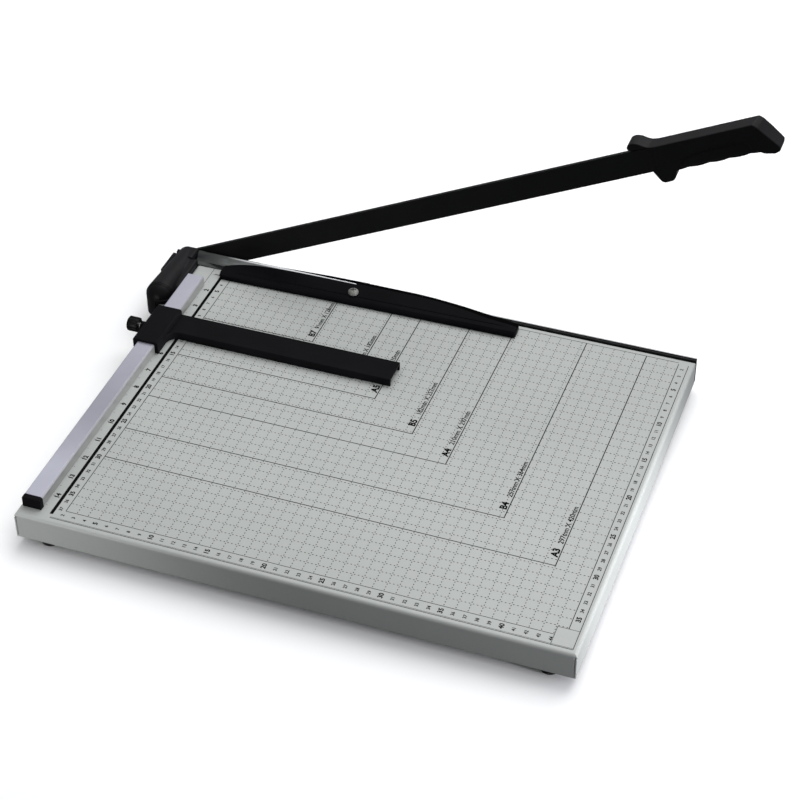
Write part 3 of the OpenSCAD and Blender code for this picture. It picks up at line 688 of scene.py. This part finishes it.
def shell(name, rings, thickness, end_wall=None):
    """A wall through open rings; end_wall closes the first ring down to that height."""
    size = len(rings[0])
    verts = [v for ring in rings for v in ring]
    faces = bridge(len(rings), size, closed=False)
    if end_wall is not None:
        base = len(verts)
        verts += [(x, y, end_wall) for x, y, _ in rings[0]]
        faces += [(j, base + j, base + j + 1, j + 1) for j in range(size - 1)]
    ob = mesh_object(name, verts, faces, plastic_black)
    bm = bmesh.new()
    bm.from_mesh(ob.data)
    bmesh.ops.remove_doubles(bm, verts=bm.verts, dist=5e-6)
    bmesh.ops.dissolve_degenerate(bm, edges=bm.edges, dist=5e-6)
    bmesh.ops.recalc_face_normals(bm, faces=bm.faces)
    # an open surface may come out facing inwards
    inside = Vector((SHAFT_X * MM, -40 * MM, -6 * MM))
    outward = sum((f.calc_center_median() - inside).dot(f.normal) * f.calc_area()
                  for f in bm.faces)
    if outward < 0:
        bmesh.ops.reverse_faces(bm, faces=bm.faces)
    bm.to_mesh(ob.data)
    bm.free()
    wall = ob.modifiers.new("wall", "SOLIDIFY")
    wall.thickness = thickness * MM
    wall.offset = -1.0
    wall.use_even_offset = False
    apply_modifiers(ob)
    smooth_below(ob, 42)
    return ob


def build_housing():
    body_stations = [-5.5, -8, -11, -14, -16, -16.95, -17.05]
    body_stations += [-19.0 - 2.5 * i for i in range(20)]
    rings = [housing_ring(y, edge) for y, edge in FAR_ROUNDING]
    rings += [housing_ring(y) for y in body_stations]
    rings += [housing_ring(y, edge) for y, edge in NEAR_RIM]
    housing = shell("hinge_housing_moulding", rings, thickness=2.0, end_wall=WALL_FOOT_Z)

    rings = [housing_ring(y, edge) for y, edge in END_CAP_RIM]
    for i in range(22):
        a = math.radians(9 + 81 * i / 21)
        # the last ring stops just short of the dome's tip
        rings.append(housing_ring(max(DOME_Y - DOME_RADIUS * math.sin(a), -80.48)))
    end_cap = shell("housing_end_cap_moulding", rings, thickness=1.6)
    for ob, node in ((housing, "hinge_housing"), (end_cap, "housing_end_cap")):
        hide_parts(node)
        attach(ob, "table")


build_housing()

# ---------------------------------------------------------------- handle
# Drawn in the arm's side view: u runs along the raised arm and v square to it.
PIVOT_X, PIVOT_Z = -33.0, -11.04
ARM_COS, ARM_SIN = math.cos(math.radians(25.6)), math.sin(math.radians(25.6))
ARM_OFFSET = 3.33  # from the pivot to u = 0
GRIP_WIDTH = 16.6
RIVET_US, RIVET_RADIUS = (505, 545), 2.3
GRIP_START = [  # u, v from the front guard down to the finger side
    (482, -11.3), (484.6, -18.6), (486.2, -22.4), (489, -24.0), (496.8, -23.6), (499.4, -21.0),
    (502, -15.8), (505, -14.4)]
GRIP_END = [  # u, v round the free end and back along the top to the hooked tip
    (581, -16.8), (590, -18.9), (595, -17.8), (596.9, -13.8), (594.8, -9), (590.6, 0),
    (586.4, 8), (583.2, 11.5), (492, 11.4), (486.5, 12.2), (482.5, 14.6), (478.5, 17.8),
    (474, 19.2), (470, 18.5), (467.8, 16.6), (467.6, 14.3), (469.5, 12.5), (482, 12.3)]
ARM_SEAT = [(400, -11.25), (486.1, -11.25), (486.1, 12.35), (400, 12.35)]  # u, v
BAR_SEAT = [(486.0, -7.2), (560.5, -7.2), (560.5, 7.2), (486.0, 7.2)]  # u, v
PAD_OUTLINE = [  # u, v
    (507.5, -12.6), (571.5, -12.6), (572.6, -10.5), (572.2, -7.5), (570.6, -4.6),
    (568.0, -2.4), (564.0, -1.2), (550.0, -1.1), (536.0, -1.5), (524.0, -2.4),
    (516.0, -4.2), (510.5, -7.0), (507.8, -10.0)]
PAD_CENTER = (541.0, -7.4)
PAD_REACH = (32.0, 6.0)  # the insets are shares of these half sizes
# inset, y: the pad's soft edge, from inside the grip outwards
PAD_PROFILE = [(0.0, 0.35), (0.0, 0.06), (0.15, -0.12), (0.45, -0.32), (0.9, -0.50),
               (1.5, -0.60), (2.4, -0.64)]


def arm_to_world(u, y, v):
    u += ARM_OFFSET
    return PIVOT_X + u * ARM_COS - v * ARM_SIN, y, PIVOT_Z + u * ARM_SIN + v * ARM_COS


def world_to_arm(co):
    x, z = co.x / MM - PIVOT_X, co.z / MM - PIVOT_Z
    return x * ARM_COS + z * ARM_SIN - ARM_OFFSET, z * ARM_COS - x * ARM_SIN


def arm_prism(name, outline, y0, y1):
    """A (u, v) outline extruded from y0 to y1."""
    n = len(outline)
    verts = [arm_to_world(u, y, v) for y in (y0, y1) for u, v in outline]
    faces = [tuple(range(n)), tuple(range(2 * n - 1, n - 1, -1))]
    faces += [(i, n + i, n + (i + 1) % n, (i + 1) % n) for i in range(n)]
    return mesh_object(name, verts, faces, plastic_black)


def grip_outline():
    # shallow scallops for the fingers
    scallops = []
    for i in range(49):
        u = 505 + 74 * i / 48
        ripple = 1 - abs(math.cos(math.pi * (u - 505) / 18.5))
        scallops.append((u, -14.8 + 0.95 * ripple))
    return GRIP_START + scallops + GRIP_END


def soften(ob):
    remesh = ob.modifiers.new("remesh", "REMESH")
    remesh.mode = "VOXEL"
    remesh.voxel_size = 0.62 * MM
    remesh.adaptivity = 0.0
    smooth = ob.modifiers.new("soften", "SMOOTH")
    smooth.factor = 0.5
    smooth.iterations = 14
    apply_modifiers(ob)
    ob.data.materials.clear()
    ob.data.materials.append(plastic_black)


def slant_end(ob):
    """Draw the end's upper near corner back towards the pivot and flatten the near face."""
    bm = bmesh.new()
    bm.from_mesh(ob.data)
    for vert in bm.verts:
        u, v = world_to_arm(vert.co)
        y = vert.co.y / MM
        if u > 570:
            along = min(1.0, (u - 570) / 22)
            along = along * along * (3 - 2 * along)
            up = min(1.0, max(0.0, (v + 20) / 32))
            shift = -4.5 * along * up * (1 - y / GRIP_WIDTH)
            vert.co.x += shift * ARM_COS * MM
            vert.co.z += shift * ARM_SIN * MM
        vert.co.y = max(vert.co.y, 0.12 * MM)
    bm.to_mesh(ob.data)
    bm.free()


def grip_pad():
    """A low pad with soft edges on the near face of the grip."""
    (center_u, center_v), (reach_u, reach_v) = PAD_CENTER, PAD_REACH
    verts = [arm_to_world(center_u + (u - center_u) * (1 - inset / reach_u), y,
                          center_v + (v - center_v) * (1 - inset / reach_v))
             for inset, y in PAD_PROFILE for u, v in PAD_OUTLINE]
    size, levels = len(PAD_OUTLINE), len(PAD_PROFILE)
    faces = bridge(levels, size, closed=True)
    faces += [tuple(range(size)), tuple(range(levels * size - 1, (levels - 1) * size - 1, -1))]
    return mesh_object("pad", verts, faces, plastic_black)


def build_grip():
    grip = arm_prism("handle_grip_moulding", grip_outline(), 0.0, GRIP_WIDTH)
    soften(grip)
    slant_end(grip)
    for outline, y0, y1 in ((ARM_SEAT, -1.0, 4.15), (BAR_SEAT, 1.4, 4.15)):
        combine(grip, arm_prism("cutter", outline, y0, y1), "DIFFERENCE")
    combine(grip, grip_pad(), "UNION")
    angles = [i * math.pi / 12 for i in range(24)]
    for rivet_u in RIVET_US:
        hole = [(rivet_u + RIVET_RADIUS * math.cos(a), RIVET_RADIUS * math.sin(a))
                for a in angles]
        combine(grip, arm_prism("cutter", hole, 0.8, 20.0), "DIFFERENCE")
    smooth_below(grip, 38)
    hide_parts("handle_grip")
    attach(grip, "arm")


build_grip()

# ---------------------------------------------------------------- softened CAD parts
EDGE_WIDTHS = {"paper_stop": 0.7, "fence_end_cap": 0.35, "clamp_knob": 0.5, "rubber_feet": 0.3}
for node_name, width in EDGE_WIDTHS.items():
    modifiers = NODES[node_name].modifiers
    weld = modifiers.new("weld", "WELD")
    weld.merge_threshold = 0.000002
    plane = modifiers.new("plane", "DECIMATE")
    plane.decimate_type = "DISSOLVE"
    plane.angle_limit = math.radians(0.5)
    edge = modifiers.new("edge", "BEVEL")
    edge.width = width * MM
    edge.segments = 3
    edge.limit_method = "ANGLE"
    edge.angle_limit = math.radians(35)
    edge.harden_normals = False

# ---------------------------------------------------------------- printed table
INK_BOTTOM = -0.01  # the ink starts just inside the paint
THIN_TOP, THICK_TOP = 0.035, 0.05
INCH = 25.4
GRID_LEFT, GRID_RIGHT, GRID_FAR, GRID_NEAR = 20, 450, -10, -370
DASH_PITCH = 10.0 / 3.0
DASH_HALF, GRID_HALF = 1.25 / 2, 0.3  # half the length and half the width of a dash
PAPER_LEFT = 20.3
# name, width along x, height along y
PAPERS = [("A3", 420, 297), ("B4", 364, 257), ("A4", 297, 210), ("B5", 257, 182),
          ("A5", 210, 148), ("B6", 182, 128), ("B7", 128, 91)]
# x0, x1, y0, y1 of the border lines
THICK_BORDERS = [
    (8.5, 11.4, -377, -10), (19.7, 20.25, -370, -10.5), (449.75, 450.3, -361, -12),
    (10.9, 459.2, -381.7, -381.2), (458.8, 459.3, -381, -12)]
THIN_BORDERS = [
    (10.9, 459.2, -380.5, -380.2), (20.3, 449.7, -10.3, -9.8), (20.3, 441, -370.3, -369.8),
    (441, 458.8, -361.3, -360.9), (440.8, 441.2, -380.8, -361.3)]
LONE_TICK = (-1.75, -1.35, -43.6, -17.2)  # a stroke left of the ruler


def grid_dashes():
    """The dashed 1 cm grid: lines along y, then lines along x."""
    boxes = []
    for i in range(3, 45):
        x = i * 10.0
        for k in range(int((GRID_FAR - GRID_NEAR) / DASH_PITCH)):
            y = GRID_FAR - (k + 0.5) * DASH_PITCH
            boxes.append((x - GRID_HALF, x + GRID_HALF, y - DASH_HALF, y + DASH_HALF))
    for j in range(2, 37):
        y = -j * 10.0
        for k in range(int((GRID_RIGHT - GRID_LEFT) / DASH_PITCH)):
            x = GRID_LEFT + (k + 0.5) * DASH_PITCH
            boxes.append((x - DASH_HALF, x + DASH_HALF, y - GRID_HALF, y + GRID_HALF))
    return boxes


def half_inch_ticks():
    boxes = []
    for k in range(1, 30):
        y = -INCH / 2 * k
        length = 2.2 if k % 2 == 0 else 1.3
        boxes.append((0.9, 0.9 + length, y - 0.15, y + 0.15))
    return boxes


def box_mesh(name, boxes, top, material):
    """One mesh of thin closed boxes, each (x0, x1, y0, y1)."""
    verts, faces = [], []
    for x0, x1, y0, y1 in boxes:
        k = len(verts)
        for z in (INK_BOTTOM, top):
            verts += [(x * MM, y * MM, z * MM) for x, y in ((x0, y0), (x1, y0), (x1, y1), (x0, y1))]
        faces += [(k + 3, k + 2, k + 1, k), (k + 4, k + 5, k + 6, k + 7)]
        for i in range(4):
            j = (i + 1) % 4
            faces.append((k + i, k + j, k + 4 + j, k + 4 + i))
    mesh = bpy.data.meshes.new(name)
    mesh.from_pydata(verts, [], faces)
    mesh.update()
    mesh.materials.append(material)
    return link_object(name, mesh)


def letter_mesh(text, height, weight, align):
    curve = bpy.data.curves.new("label", "FONT")
    curve.body = text
    curve.size = height * MM * 1.42  # font size from the height of its capitals
    curve.align_x = align
    curve.align_y = "CENTER" if align == "CENTER" else "BOTTOM_BASELINE"
    curve.extrude = (THICK_TOP - INK_BOTTOM) / 2 * MM
    curve.offset = weight * MM
    curve.resolution_u = 3
    ob = link_object("label", curve)
    mesh = evaluated_mesh(ob)
    bpy.data.objects.remove(ob)
    return mesh


def text_mesh(name, labels, material):
    """One mesh of all the labels, each reading along +Y."""
    joined = bmesh.new()
    cache = {}
    for text, x, y, *style in labels:
        key = (text, *style)
        if key not in cache:
            cache[key] = letter_mesh(*key)
        letters = bmesh.new()
        letters.from_mesh(cache[key])
        bmesh.ops.remove_doubles(letters, verts=letters.verts, dist=1e-7)
        place = Matrix.Translation((x * MM, y * MM, (INK_BOTTOM + THICK_TOP) / 2 * MM))
        letters.transform(place @ Matrix.Rotation(math.pi / 2, 4, "Z"))
        placed = bpy.data.meshes.new("placed")
        letters.to_mesh(placed)
        letters.free()
        joined.from_mesh(placed)
        bpy.data.meshes.remove(placed)
    mesh = bpy.data.meshes.new(name)
    joined.to_mesh(mesh)
    joined.free()
    mesh.materials.append(material)
    return link_object(name, mesh)


def table_labels():
    """Rows of text, x, y, capital height, weight, alignment."""
    labels = [(str(k), 5.1, -INCH * k + 0.5, 4.1, 0.26, "CENTER") for k in range(1, 15)]
    # centimetres on the left, near and right borders: end of the count, place of number k
    scales = ((38, lambda k: (15.2, -10 * k + 1.1)),
              (45, lambda k: (10 * k - 0.2, -375.4)),
              (36, lambda k: (454.6, -10 * k + 1.1)))
    for end, place in scales:
        for k in range(2, end):
            height, weight = (4.1, 0.20) if k % 5 == 0 else (3.0, 0.10)
            labels.append((str(k), *place(k), height, weight, "CENTER"))
    for name, width, height in PAPERS:
        big = width > 200
        size = 1.0 if big else 0.95
        start = -height + (3.4 if width > 250 else 2.0 if big else 1.0)
        labels.append((name, width - 1.5, start + 6.4, 6.0 * size, 0.36, "LEFT"))
        labels.append((f"{height}mm X {width}mm", width - 1.6, start + (22.5 if big else 19.0),
                       4.5 * size, 0.12, "LEFT"))
    return labels


def build_print():
    # each sheet has a strong line across its right end and a thin one along its near side
    strong = [(w - 0.4, w + 0.4, -h - 0.4, -10.0) for _, w, h in PAPERS]
    light = [(PAPER_LEFT, w - 0.4, -h - 0.38, -h + 0.38) for _, w, h in PAPERS]
    thin = grid_dashes() + THIN_BORDERS + light + half_inch_ticks() + [LONE_TICK]
    prints = [
        box_mesh("printed_grid", thin, THIN_TOP, ink_thin),
        box_mesh("printed_lines", THICK_BORDERS + strong, THICK_TOP, ink),
        text_mesh("printed_numbers", table_labels(), ink),
    ]
    for ob in prints:
        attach(ob, "table")


build_print()


# ---------------------------------------------------------------- stage, light, camera
def build_floor():
    """A floor that is pale to the camera but bounces less light back."""
    half = 6.0
    z = CAD_BOX[0][2]
    mesh = bpy.data.meshes.new("floor")
    corners = [(-half, -half, z), (half, -half, z), (half, half, z), (-half, half, z)]
    mesh.from_pydata(corners, [], [(0, 1, 2, 3)])
    floor = link_object("floor", mesh)
    material = bpy.data.materials.new("pale_floor")
    material.use_nodes = True
    nodes = Nodes(material.node_tree)
    seen = nodes.node("LightPath").outputs["Is Camera Ray"]
    bounced, pale = (0.20, 0.20, 0.21), (0.93, 0.93, 0.93)
    surface = material.node_tree.nodes["Principled BSDF"].inputs
    nodes.assign(surface["Base Color"], nodes.mix(seen, bounced, pale))
    surface["Roughness"].default_value = 0.95
    surface["Specular IOR Level"].default_value = 0.1
    mesh.materials.append(material)


def build_world():
    """White to the camera; to the object, bright overhead and behind, dim in front."""
    bright_side = Vector((0.30, 0.52, 0.80)).normalized()
    world = bpy.data.worlds.new("studio")
    bpy.context.scene.world = world
    world.use_nodes = True
    nodes = Nodes(world.node_tree)
    direction = nodes.node("TexCoord").outputs["Generated"]
    glow = nodes.remap(nodes.dot(direction, bright_side), span=(-0.45, 0.95), to=(0.13, 0.85),
                       interpolation_type="SMOOTHSTEP")
    seen = nodes.node("LightPath").outputs["Is Camera Ray"]
    camera_strength = 1.0
    strength = nodes.node("Mix", {0: seen, 2: glow, 3: camera_strength}, data_type="FLOAT")
    background = world.node_tree.nodes["Background"].inputs
    nodes.assign(background["Strength"], strength.outputs[0])
    nodes.assign(background["Color"], (0.97, 0.98, 1.0))


def add_light(kind, name, at, target, power, color):
    light = bpy.data.lights.new(name, kind)
    light.energy = power
    light.color = color
    ob = link_object(name, light)
    ob.location = at
    aim = Vector(target) - Vector(at)
    ob.rotation_euler = aim.to_track_quat("-Z", "Y").to_euler()
    return light, aim.length


def area(name, at, target, size, power, color=(1, 1, 1)):
    light, _ = add_light("AREA", name, at, target, power, color)
    light.shape = "RECTANGLE"
    light.size, light.size_y = size


def spot(name, at, target, radius, power, color=(1, 1, 1)):
    """A spot whose soft cone has the given radius at its target."""
    light, distance = add_light("SPOT", name, at, target, power, color)
    light.spot_size = 2 * math.atan(radius / distance)
    light.spot_blend = 1.0
    light.shadow_soft_size = 0.08


def build_camera():
    data = bpy.data.cameras.new("camera")
    data.sensor_width = 36.0
    data.lens = 94.19
    data.clip_start = 0.05
    camera = link_object("camera", data)
    right = Vector((0.94041, 0.33999, -0.00644))
    up = Vector((-0.2119, 0.6008, 0.7708))
    back = Vector((0.26594, -0.72352, 0.63702))
    turn = Matrix((right, up, back)).transposed().to_4x4()
    camera.matrix_world = Matrix.Translation((0.7208, -1.4735, 1.1720)) @ turn
    bpy.context.scene.camera = camera


build_floor()
build_world()
area("key", at=(0.5, 0.9, 2.1), target=(0.2, -0.2, 0), size=(2.0, 2.0), power=40)
area("side", at=(2.3, 0.0, 0.8), target=(0.3, -0.2, 0.0), size=(1.0, 1.0), power=9,
     color=(0.88, 0.89, 1.0))
spot("right_glow", at=(1.9, -0.50, 0.12), target=(0.464, -0.245, -0.015), radius=0.22,
     power=175, color=(0.96, 0.96, 1.0))
spot("left_glow", at=(-0.30, -1.15, 0.10), target=(-0.035, -0.388, -0.02), radius=0.20,
     power=16)
build_camera()
bpy.context.scene.view_settings.view_transform = "Standard"
